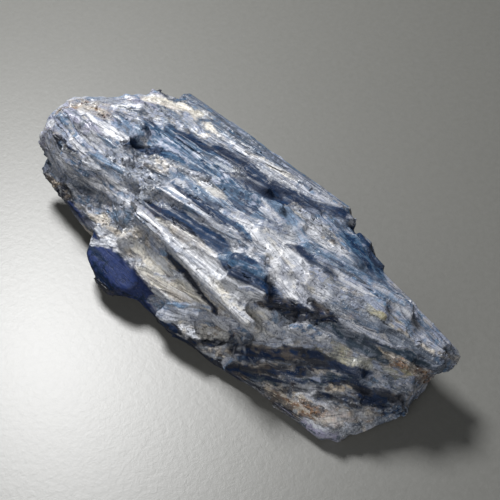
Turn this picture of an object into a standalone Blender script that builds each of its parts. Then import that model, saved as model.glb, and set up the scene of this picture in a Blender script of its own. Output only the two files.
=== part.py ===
# Kyanite blade cluster: a hand specimen that lies on its flattest side.
#
# The rock grew as one piece. Packs of flat, splintery kyanite blades run along it, with grains of
# quartz packed between them, and it was broken out of its vein on all sides. So it is one solid:
# a lofted mass of matrix, the blades and grains that stand out of it, and the clefts between them.
#
# The blades run along X, +Z is up, and the origin is on the surface that the rock rests on, under
# the middle of its box. The near side, which shows the most, is the one at -Y.

import math
import random
from collections import namedtuple

import bmesh
import bpy
from mathutils import Matrix, Vector

MM = 0.001

# Driving dimensions: the box that the broken ends, sides and top of the rock reach.
LENGTH = 108 * MM
WIDTH = 48 * MM
HEIGHT = 26 * MM

# Places below are in mm from the foot of the rock's crown, which is this far off the box's middle.
CROWN = (5, 0.5)

# The blades: how wide each is against its share of the pack, how much it strays from the pack,
# and how its section and its broken ends and edges slant.
OVERLAP = 1.65
HEADING_STRAY = 2.5
LEAN_STRAY = 11
STEP_STRAY = 0.5 * MM
END_STRAY = 0.14
SIZE_STRAY = 0.15
SECTION_SKEW = 0.27
END_SLANT = 0.75
CHIP_SLANT = (1.2, 2.6)
BREAK_INSET = 0.12
EDGE_BREAK = (0.12, 0.36)
EDGE_SLANT = (0.5, 1.1)

# The crust: the flat cleaved blades that cover the matrix on every side but the underside.
CRUST_WIDTH = 6 * MM
CRUST_DEPTH = 2.6 * MM
CRUST_PROUD = (0, 0.9 * MM)
CRUST_REACH = (1.0, 1.5)
CRUST_SLIDE = 0.12
CRUST_OVERLAP = 1.15
CRUST_LEAN = 7
CRUST_HEADING = 6

STONE_COLOUR = (0.19, 0.23, 0.30, 1.0)
STONE_ROUGHNESS = 0.45

# A pack of blades. start and end are the ends of its top's middle line in mm, width is across it,
# depth is how thick its blades are, lean is how many degrees its top faces the near side, and fan
# is how many degrees the blades spread apart from the first to the last.
Pack = namedtuple("Pack", "name start end width depth blades lean fan", defaults=(0,))

PACKS = (
    # The far edge and the rows behind the crown.
    Pack("far_rim", (-43, 20, 19), (9, 20.8, 19), 6, 6, 3, -20),
    Pack("upper_row", (-36, 15.5, 21.5), (8, 18.5, 20), 6, 6, 3, -8),
    Pack("long_navy", (-34, 10.5, 20.5), (0, 14, 20), 5, 5, 2, 30),
    Pack("short_navy", (-9, 12.5, 20.8), (10, 19.5, 17.7), 6, 6, 1, 20),
    Pack("pale_row", (-40, 5.5, 23), (-3, 8, 22.8), 6, 6, 3, 8),
    Pack("upper_left", (-51, 7, 22), (-27, 13, 21), 9, 7, 4, -8, 8),
    Pack("far_left_corner", (-51, 14, 20), (-35, 17.5, 20), 6, 6, 2, -14),
    # The crown.
    Pack("crown", (-23, -4, 25), (6, 2, 25), 11, 7, 5, 6, 8),
    Pack("crown_block", (4, -11, 24.5), (15, -9, 24), 5, 7, 2, 15),
    Pack("crossed_facets", (-1, 9, 22.3), (11, 6, 23.3), 5, 5, 2, -5),
    # The bright ridge and the shelf below it.
    Pack("bright_ridge", (-22, -12, 22.5), (14, -12.3, 21.5), 7, 6, 5, 24, 6),
    Pack("ridge_foot", (-20, -14.5, 17.5), (9, -16, 15.5), 4.5, 5, 3, 42, 5),
    Pack("shelf_blue", (-33, -19.6, 9.6), (-12, -19.6, 9.2), 10, 4, 1, 22),
    Pack("shelf_tan", (-19, -17.3, 12.5), (3, -17.8, 11.5), 5.5, 5, 3, 34),
    Pack("shelf_grey", (-8, -20.5, 8.5), (9, -17, 10), 6, 5, 2, 35),
    # The lobe at the far left.
    Pack("lobe_top", (-57.5, -4.2, 22), (-34, -3.7, 23.8), 9, 6, 5, 12, 6),
    Pack("white_blade", (-52, -4.5, 24.4), (-34, -3, 25), 5, 3, 1, 10),
    Pack("lobe_block", (-42, 1.5, 25), (-34, 2.5, 25), 5, 5, 2, 4),
    Pack("lobe_front", (-55.4, -11, 17.5), (-26, -10.5, 19), 8, 5, 5, 58, 6),
    Pack("lobe_ledge", (-43, -12.5, 10.5), (-22, -12.5, 14), 6, 6, 3, 32),
    Pack("left_sliver", (-58, -11.5, 10.5), (-33, -15.5, 7.5), 4, 3, 1, 30),
    # The right half.
    Pack("right_block", (13, 1.5, 25), (36, 7, 22), 8, 7, 4, 4),
    Pack("far_block", (12, 13.5, 20), (25, 14.5, 18), 8, 9, 2, -10),
    Pack("right_rim", (25, 12, 19.6), (47.3, 9.5, 15.8), 6, 6, 3, -14),
    Pack("streaked_row", (24, -1.5, 24), (46, 4.5, 16), 7, 7, 4, 12),
    Pack("teal_row", (25, -8, 21), (47, 4, 14), 6, 6, 3, 38),
    Pack("curved_face", (14, -18, 10), (36, -8.5, 13.5), 10, 5, 4, 52, 14),
    Pack("end_face", (33, -10, 9.5), (45.5, 3, 11), 8, 5, 3, 58),
    Pack("near_foot", (25, -16.5, 5), (40.5, -13.5, 4.5), 6, 5, 3, 40),
    # The blade of the underside that the rock rests on.
    Pack("bed", (-32, -1.5, 7), (24, -1.5, 7), 15, 9, 1, 0),
)

# The mass of quartz and mica between the packs, as cross-sections along X. Each runs from the near
# foot, over the lip, the shelf, the step and the crown, to the rim, the far side and its foot.
CORE_SECTIONS = (
    (-58.8, ((-7, 14), (-8, 15), (-8.5, 16.5), (-8.3, 18.5), (-7.5, 20.3),
             (-5.5, 21.6), (-3, 21), (-1, 19), (-1.5, 16), (-4, 14.5))),
    (-57.5, ((-8, 10), (-10.5, 12), (-11, 14), (-10.5, 17), (-8.5, 20),
             (-4.5, 21.8), (-0.5, 21.5), (3.5, 18.5), (4, 14), (-2, 11))),
    (-47, ((-8, 4), (-12, 7), (-12.5, 10), (-12, 15), (-10, 21),
           (-3, 23.5), (8, 21.5), (16, 19), (17, 12), (8, 4))),
    (-37, ((-11, 0.7), (-14, 4), (-14.5, 8), (-12, 11), (-10, 18),
           (-1, 22), (10, 21), (19, 18), (20, 9), (13, 0.7))),
    (-28, ((-15, 0.7), (-20, 4), (-19.5, 8), (-14, 12), (-11.5, 18),
           (0, 22.5), (12, 19.5), (20.5, 17), (21.5, 8), (15, 0.7))),
    (-8, ((-16, 0.7), (-21, 3.5), (-19, 7.5), (-15, 11), (-13, 19.5),
          (0, 23.5), (12, 19), (21, 17), (21.5, 8), (15, 0.7))),
    (8, ((-15, 0.7), (-20, 3.5), (-17.5, 8), (-14.5, 11), (-12, 20),
         (0, 24), (11, 20.5), (19.5, 17), (20, 8), (14, 0.7))),
    (22, ((-13, 0.7), (-18.5, 3), (-16, 7), (-11, 13), (-7, 20.5),
          (-1, 23.5), (8, 21), (15.5, 17.5), (16.5, 8), (11, 0.7))),
    (36, ((-12, 0.7), (-17.5, 3), (-15, 6.5), (-9, 11), (-4, 16.5),
          (2, 20), (7, 19.4), (11.5, 17), (12.5, 10), (8, 0.7))),
    (41, ((-11, 1.5), (-14, 3.5), (-11.5, 6), (-6, 10), (-1, 14),
          (4, 17), (8, 17), (10.5, 15.5), (11.3, 9), (8, 1.2))),
    (45.5, ((-2, 2), (-3.5, 4), (-3, 7), (-0.5, 9.5), (3, 12),
            (6, 14), (8, 14.6), (9.6, 13.6), (10, 8), (6.5, 2))),
)

# Zones where angular quartz grains show: the middle and half-sizes of the zone in mm, and how
# many grains it holds.
GRAIN_ZONES = (
    ("crown_quartz", (12, -3, 23.8), (10, 4.5, 0.8), 12),
    ("ridge_quartz", (18, -10.5, 18.5), (5, 3, 1), 6),
    ("upper_quartz", (-38, 10, 20.5), (8, 4, 0.8), 5),
    ("notch_quartz", (-26, -14, 13.5), (5, 3, 1.5), 5),
    ("end_quartz", (42, -6, 8), (4, 4, 2), 4),
    ("far_quartz", (16, 14, 17), (7, 3, 1), 4),
)
GRAIN_RADIUS = (1.0 * MM, 2.0 * MM)
GRAIN_LUMPS = (0.75, 1.2)
GRAIN_STRETCH = (1.35, 1, 0.8, 1)

# Clefts that are broken or weathered into the rock, given like blades: their top's middle line,
# width, depth and lean.
CLEFTS = (
    Pack("lobe_pit", (-39.6, -2.2, 24.5), (-32.6, 0.6, 24.5), 3.6, 4, 1, 6),
    Pack("crown_cleft", (-21, -8.6, 25), (-3, -7.2, 25), 2.8, 2.6, 1, 14),
    Pack("ledge_groove", (-46, -13.5, 13), (-21, -11.5, 16.5), 2.6, 2.2, 1, 66),
    Pack("ridge_cave", (13, -14.5, 20.5), (24, -8.5, 20.5), 4, 3.5, 1, 58),
    Pack("shelf_pocket", (2, -20.5, 9.5), (12, -17, 11), 4.5, 4, 1, 45),
    Pack("end_cleft", (28, -13, 8.5), (44, -3, 8.5), 2.2, 4, 1, 62),
)


def place_of(x, y, z):
    """A point of the rock from its measures in mm."""
    return Vector((x + CROWN[0], y + CROWN[1], z)) * MM


def turned(axis, degrees):
    return Matrix.Rotation(math.radians(degrees), 4, axis)


def frame_facing(start, end, out):
    """A blade's own axes: X along it, Z out of its top, at the middle of its top."""
    along = (end - start).normalized()
    side = out.cross(along).normalized()
    axes = Matrix((along, side, along.cross(side))).transposed().to_4x4()
    return Matrix.Translation((start + end) / 2) @ axes


def frame_leaning(pack):
    """The same axes for a pack whose top faces up, but for its lean."""
    up = Vector((0, 0, 1))
    return frame_facing(place_of(*pack.start), place_of(*pack.end), up) @ turned("X", pack.lean)


def length_of(pack):
    return (Vector(pack.end) - Vector(pack.start)).length * MM


def cleave(body, point, normal):
    """Breaks off what lies outside the plane and closes the break with a flat face."""
    geometry = body.verts[:] + body.edges[:] + body.faces[:]
    cut = bmesh.ops.bisect_plane(body, geom=geometry, plane_co=point, plane_no=normal, clear_outer=True)
    edges = [item for item in cut["geom_cut"] if isinstance(item, bmesh.types.BMEdge)]
    if edges:
        bmesh.ops.edgeloop_fill(body, edges=edges)


def new_object(name, body, collection):
    """Writes a bmesh to an object in the collection."""
    bmesh.ops.recalc_face_normals(body, faces=body.faces[:])
    mesh = bpy.data.meshes.new(name)
    body.to_mesh(mesh)
    body.free()
    made = bpy.data.objects.new(name, mesh)
    collection.objects.link(made)
    return made


def make_blade(name, frame, length, width, depth, rng, collection, chipped=True):
    """One flat blade with a slanted section, broken long edges and obliquely broken ends."""
    body = bmesh.new()
    bmesh.ops.create_cube(body, size=1)
    for corner in body.verts:
        corner.co.z -= 0.5
        corner.co.y += SECTION_SKEW * corner.co.z
        corner.co = Vector((corner.co.x * length, corner.co.y * width, corner.co.z * depth))
    for end in (-1, 1):
        tip = Vector((end * length / 2, 0, 0))
        slant = Vector((end, rng.uniform(-END_SLANT, END_SLANT), rng.uniform(0, END_SLANT)))
        middle_of_end = tip - Vector((0, 0, depth / 2))
        cleave(body, middle_of_end - slant.normalized() * BREAK_INSET * width, slant)
        if chipped:
            chip = Vector((end, rng.choice((-1, 1)) * rng.uniform(*CHIP_SLANT), rng.uniform(0, END_SLANT)))
            cleave(body, tip + chip.normalized() * BREAK_INSET * width, chip)
    for side in (-1, 1):
        edge = Vector((0, side * (width / 2 - depth * rng.uniform(*EDGE_BREAK)), 0))
        cleave(body, edge, Vector((0, side * rng.uniform(*EDGE_SLANT), 1)))
    body.transform(frame)
    return new_object(name, body, collection)


def grow_pack(pack, collection):
    """The pack's blades, side by side: each strays a little in height, heading, lean and reach."""
    rng = random.Random(pack.name)
    length = length_of(pack)
    width = pack.width * MM
    if pack.blades == 1:
        make_blade(pack.name, frame_leaning(pack), length, width, pack.depth * MM, rng, collection)
        return
    for number in range(pack.blades):
        place = (number + 0.5) / pack.blades - 0.5
        shift = Vector((
            rng.uniform(-END_STRAY, END_STRAY) * length,
            place * width,
            rng.uniform(-STEP_STRAY, STEP_STRAY),
        ))
        heading = pack.fan * place + rng.uniform(-HEADING_STRAY, HEADING_STRAY)
        lean = rng.uniform(-LEAN_STRAY, LEAN_STRAY)
        frame = frame_leaning(pack) @ Matrix.Translation(shift) @ turned("Z", heading) @ turned("X", lean)
        sizes = (length, OVERLAP * width / pack.blades, pack.depth * MM)
        sizes = [size * rng.uniform(1 - SIZE_STRAY, 1 + SIZE_STRAY) for size in sizes]
        make_blade(f"{pack.name}_{number + 1}", frame, *sizes, rng, collection)


def make_cleft(cleft, collection):
    """A cleft's cutter: a blade-shaped space that is open above the surface."""
    rng = random.Random(cleft.name)
    sizes = (length_of(cleft), cleft.width * MM, cleft.depth * MM)
    make_blade(cleft.name, frame_leaning(cleft), *sizes, rng, collection)


def make_grains(name, middle, half_size, count, collection):
    """Angular quartz grains, scattered through one zone."""
    rng = random.Random(name)
    for number in range(count):
        body = bmesh.new()
        bmesh.ops.create_icosphere(body, subdivisions=1, radius=rng.uniform(*GRAIN_RADIUS))
        for corner in body.verts:
            corner.co *= rng.uniform(*GRAIN_LUMPS)
        stray = Vector([rng.uniform(-half, half) for half in half_size]) * MM
        turn = Matrix.Rotation(rng.uniform(0, math.tau), 4, Vector((rng.random(), rng.random(), 1)))
        place = Matrix.Translation(place_of(*middle) + stray)
        body.transform(place @ turn @ Matrix.Diagonal(GRAIN_STRETCH))
        new_object(f"{name}_{number + 1}", body, collection)


def loft_core(name, sections, collection):
    """The matrix: a skin drawn through the cross-sections, closed at both ends."""
    body = bmesh.new()
    rings = []
    for x, outline in sections:
        rings.append([body.verts.new(place_of(x, y, z)) for y, z in outline])
    for left, right in zip(rings, rings[1:]):
        for number in range(len(left)):
            following = (number + 1) % len(left)
            body.faces.new((left[number], left[following], right[following], right[number]))
    body.faces.new(rings[0])
    body.faces.new(rings[-1])
    bmesh.ops.triangulate(body, faces=body.faces[:])
    return new_object(name, body, collection)


def make_crust_blade(name, low, high, width, out, rng, collection):
    """A blade of the crust, along the line from low to high and a little proud of it."""
    reach = (high - low) * (rng.uniform(*CRUST_REACH) - 1) / 2
    slide = (high - low) * rng.uniform(-CRUST_SLIDE, CRUST_SLIDE)
    frame = frame_facing(low - reach + slide, high + reach + slide, out)
    frame = frame @ Matrix.Translation((0, 0, rng.uniform(*CRUST_PROUD)))
    frame = frame @ turned("Z", rng.uniform(-CRUST_HEADING, CRUST_HEADING))
    frame = frame @ turned("X", rng.uniform(-CRUST_LEAN, CRUST_LEAN))
    length = (high - low + 2 * reach).length
    make_blade(name, frame, length, width, CRUST_DEPTH, rng, collection, chipped=False)


def grow_crust(sections, collection):
    """Flat blades over each face of the matrix from the near foot, over the top, to the far foot."""
    rng = random.Random("crust")
    for span, ((left_x, left), (right_x, right)) in enumerate(zip(sections, sections[1:])):
        starts = [place_of(left_x, *point) for point in left]
        ends = [place_of(right_x, *point) for point in right]
        for face in range(len(left) - 1):
            across = (starts[face + 1] - starts[face] + ends[face + 1] - ends[face]) / 2
            along = ends[face] + ends[face + 1] - starts[face] - starts[face + 1]
            count = max(1, round(across.length / CRUST_WIDTH))
            for number in range(count):
                share = (number + 0.5) / count
                low = starts[face].lerp(starts[face + 1], share)
                high = ends[face].lerp(ends[face + 1], share)
                width = CRUST_OVERLAP * across.length / count
                name = f"crust_{span + 1}_{face + 1}_{number + 1}"
                make_crust_blade(name, low, high, width, along.cross(across), rng, collection)


def make_box(name, collection):
    """The rock's box: its extreme tips are broken off there, and its underside lies on the floor."""
    body = bmesh.new()
    bmesh.ops.create_cube(body, size=1)
    size = Matrix.Diagonal((LENGTH, WIDTH, HEIGHT, 1))
    body.transform(Matrix.Translation((0, 0, HEIGHT / 2)) @ size)
    return new_object(name, body, collection)


def new_collection(name):
    made = bpy.data.collections.new(name)
    bpy.context.scene.collection.children.link(made)
    return made


def stone_material():
    material = bpy.data.materials.new("kyanite")
    material.use_nodes = True
    shader = material.node_tree.nodes["Principled BSDF"]
    shader.inputs["Base Color"].default_value = STONE_COLOUR
    shader.inputs["Roughness"].default_value = STONE_ROUGHNESS
    shader.inputs["Metallic"].default_value = 0
    return material


def add_boolean(target, operation):
    modifier = target.modifiers.new(operation.lower(), "BOOLEAN")
    modifier.operation = operation
    modifier.solver = "EXACT"
    return modifier


def add_boolean_with_all(target, operation, collection):
    modifier = add_boolean(target, operation)
    modifier.operand_type = "COLLECTION"
    modifier.collection = collection


def joined_faces(first):
    """All the faces of the skin that the first one belongs to."""
    found = {first}
    border = [first]
    while border:
        for edge in border.pop().edges:
            fresh = set(edge.link_faces) - found
            found |= fresh
            border += fresh
    return found


def fill_sealed_pockets(rock):
    """Keeps only the outer skin: the matrix fills each pocket that the blades close off inside."""
    graph = bpy.context.evaluated_depsgraph_get()
    rock_mesh = bpy.data.meshes.new_from_object(rock.evaluated_get(graph))
    body = bmesh.new()
    body.from_mesh(rock_mesh)
    outermost = max(body.verts, key=lambda corner: corner.co.x)
    skin = joined_faces(outermost.link_faces[0])
    inner = [face for face in body.faces if face not in skin]
    bmesh.ops.delete(body, geom=inner, context="FACES")
    body.to_mesh(rock_mesh)
    body.free()
    rock.modifiers.clear()
    rock.data = rock_mesh


def main():
    for old in list(bpy.data.objects):
        bpy.data.objects.remove(old)
    cluster = new_collection("Kyanite blade cluster")
    blades = new_collection("Blades")
    clefts = new_collection("Clefts")
    bounds = new_collection("Bounds")

    grow_crust(CORE_SECTIONS, blades)
    for pack in PACKS:
        grow_pack(pack, blades)
    for zone in GRAIN_ZONES:
        make_grains(*zone, blades)
    for cleft in CLEFTS:
        make_cleft(cleft, clefts)
    box = make_box("rock_box", bounds)
    for helper in (*blades.objects, *clefts.objects, box):
        helper.hide_render = True
        helper.display_type = "WIRE"

    rock = loft_core("kyanite_cluster", CORE_SECTIONS, cluster)
    rock.data.materials.append(stone_material())
    add_boolean_with_all(rock, "UNION", blades)
    add_boolean_with_all(rock, "DIFFERENCE", clefts)
    add_boolean(rock, "INTERSECT").object = box
    fill_sealed_pockets(rock)


main()
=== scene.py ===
# A hand specimen of bladed kyanite. Bundles of blue, grey and white blades have grown together
# with a little quartz and mica, and the stone lies on its broken underside.
# Places and sizes are in mm until a mesh is written, in metres, in the frame of the solid.
import itertools
import math

import bmesh
import bpy
import numpy as np
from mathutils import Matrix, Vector
from mathutils.bvhtree import BVHTree


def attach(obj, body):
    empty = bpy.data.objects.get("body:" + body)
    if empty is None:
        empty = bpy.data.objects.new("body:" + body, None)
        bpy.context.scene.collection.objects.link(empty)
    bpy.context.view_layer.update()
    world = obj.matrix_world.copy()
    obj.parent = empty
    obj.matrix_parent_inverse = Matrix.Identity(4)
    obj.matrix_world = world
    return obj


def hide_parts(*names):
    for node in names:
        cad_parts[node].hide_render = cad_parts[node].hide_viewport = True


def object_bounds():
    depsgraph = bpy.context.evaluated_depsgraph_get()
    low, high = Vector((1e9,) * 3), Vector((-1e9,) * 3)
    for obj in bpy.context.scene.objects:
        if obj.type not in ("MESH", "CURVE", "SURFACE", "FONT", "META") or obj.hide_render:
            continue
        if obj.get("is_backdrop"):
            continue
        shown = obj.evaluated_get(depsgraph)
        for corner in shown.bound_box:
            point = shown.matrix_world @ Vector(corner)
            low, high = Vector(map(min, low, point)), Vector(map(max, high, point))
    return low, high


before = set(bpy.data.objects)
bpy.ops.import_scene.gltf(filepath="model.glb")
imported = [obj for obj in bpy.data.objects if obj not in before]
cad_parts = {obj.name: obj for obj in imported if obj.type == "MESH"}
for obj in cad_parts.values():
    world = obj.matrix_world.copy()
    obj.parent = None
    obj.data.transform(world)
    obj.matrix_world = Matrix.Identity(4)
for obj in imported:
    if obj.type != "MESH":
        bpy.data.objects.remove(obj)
cad_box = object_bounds()

# The mass of the stone: kyanite blades in bundles that grew into each other, with quartz, mica and
# iron stains between them. It is one natural piece, split out of its vein on all sides. Its mesh is
# made in four lengths that meet face to face, and the loose edges of its blades lie on it.
MM = 0.001
GROUND_GRAIN = 0.25
GROUND_CREASE = 48
SLIT_FILLING = 0.6
GAP_FILLING = 1.5
GAP_DEPTH = 0.3
ROUNDING_TURNS = 130
LENGTH_ENDS = (-60, -24, 0, 25, 60)

# The colours that show in it, from clean blades to stained matrix.
HUES = {
    "white": "#d0d1d5", "pale": "#b3b5bb", "mist": "#a0a3ad", "haze": "#868ea2", "lilac": "#9290a6",
    "steel": "#5a7089", "blue": "#3a5672", "navy": "#162e4c", "ink": "#12223c", "deep": "#27335a",
    "teal": "#263440", "slate": "#555d6a", "dark": "#2b2d34", "umber": "#57504a", "rust": "#80654e",
    "tan": "#a59a8a", "beige": "#b4ada4", "cream": "#cfcabf", "grey": "#808286", "rose": "#ab9a8c",
    "sky": "#6e86a1", "olive": "#98937a",
}

WARM = ("umber", "rust", "tan", "beige", "cream", "rose", "olive")

# What each kind of bed is made of, as parts of those colours.
BLENDS = {
    "white": {"white": 6, "pale": 3, "mist": 1, "haze": 1},
    "pale": {"white": 2, "pale": 4, "mist": 3, "haze": 2, "steel": 1},
    "lilac": {"lilac": 5, "mist": 2, "pale": 1, "slate": 1, "beige": 1},
    "haze": {"haze": 5, "mist": 2, "steel": 3, "pale": 1, "slate": 1, "beige": 1},
    "steel": {"steel": 6, "blue": 3, "haze": 3, "navy": 1, "pale": 1},
    "navy": {"navy": 5, "ink": 6},
    "deep": {"deep": 7, "ink": 3},
    "teal": {"teal": 7, "ink": 2, "slate": 1},
    "slate": {"slate": 6, "haze": 2, "blue": 2},
    "facet": {"sky": 5, "haze": 2, "steel": 3},
    "streaked": {"navy": 3, "steel": 3, "grey": 2, "slate": 3, "dark": 1, "pale": 1},
    "dark": {"dark": 7, "ink": 2, "umber": 1},
    "blue": {"blue": 6, "steel": 2, "navy": 3, "haze": 1},
    "mist": {"mist": 5, "pale": 3, "haze": 3, "sky": 2},
    "ash": {"haze": 3, "grey": 4, "mist": 2, "slate": 2, "beige": 1},
    "grey": {"grey": 5, "slate": 2, "beige": 2, "mist": 1, "umber": 1},
    "olive": {"olive": 7, "grey": 1, "tan": 2, "haze": 1},
    "umber": {"umber": 5, "dark": 3, "tan": 2, "grey": 2},
    "rust": {"rust": 6, "tan": 2, "umber": 2},
    "tan": {"tan": 6, "beige": 3, "rust": 1, "grey": 1},
    "beige": {"beige": 5, "grey": 2, "cream": 2, "mist": 1, "haze": 1},
    "cream": {"cream": 6, "white": 2, "beige": 2},
    "rose": {"rose": 6, "tan": 3, "grey": 1},
    "quartz": {"white": 3, "pale": 4, "mist": 3, "cream": 1},
}

# How a bed has split: the length, width and depth of its crystals in mm, how far they stand out of
# each other in mm and lean in degrees, and the share of its place that broad blades, blades, fibres
# and grains take.
HABITS = {
    "blades": ((26, 3.2, 2.4), 0.15, 9, (1.0, 0.6, 0.3, 0.02)),
    "fibres": ((20, 1.8, 1.5), 0.11, 10, (0.35, 1.0, 0.8, 0.04)),
    "smooth": ((20, 4.5, 4.0), 0.05, 3, (0.1, 0.05, 0.05, 0.0)),
    "rubble": ((1.3, 0.9, 0.8), 0.09, 14, (0.03, 0.15, 0.3, 1.0)),
    "fused": ((3.2, 1.9, 1.6), 0.035, 7, (0.02, 0.05, 0.15, 0.12)),
    "hollow": ((6, 1.4, 1.2), 0.25, 14, (0.0, 0.15, 0.1, 0.4)),
}
BROAD, NARROW, FINE, GRAINY = range(4)

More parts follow.
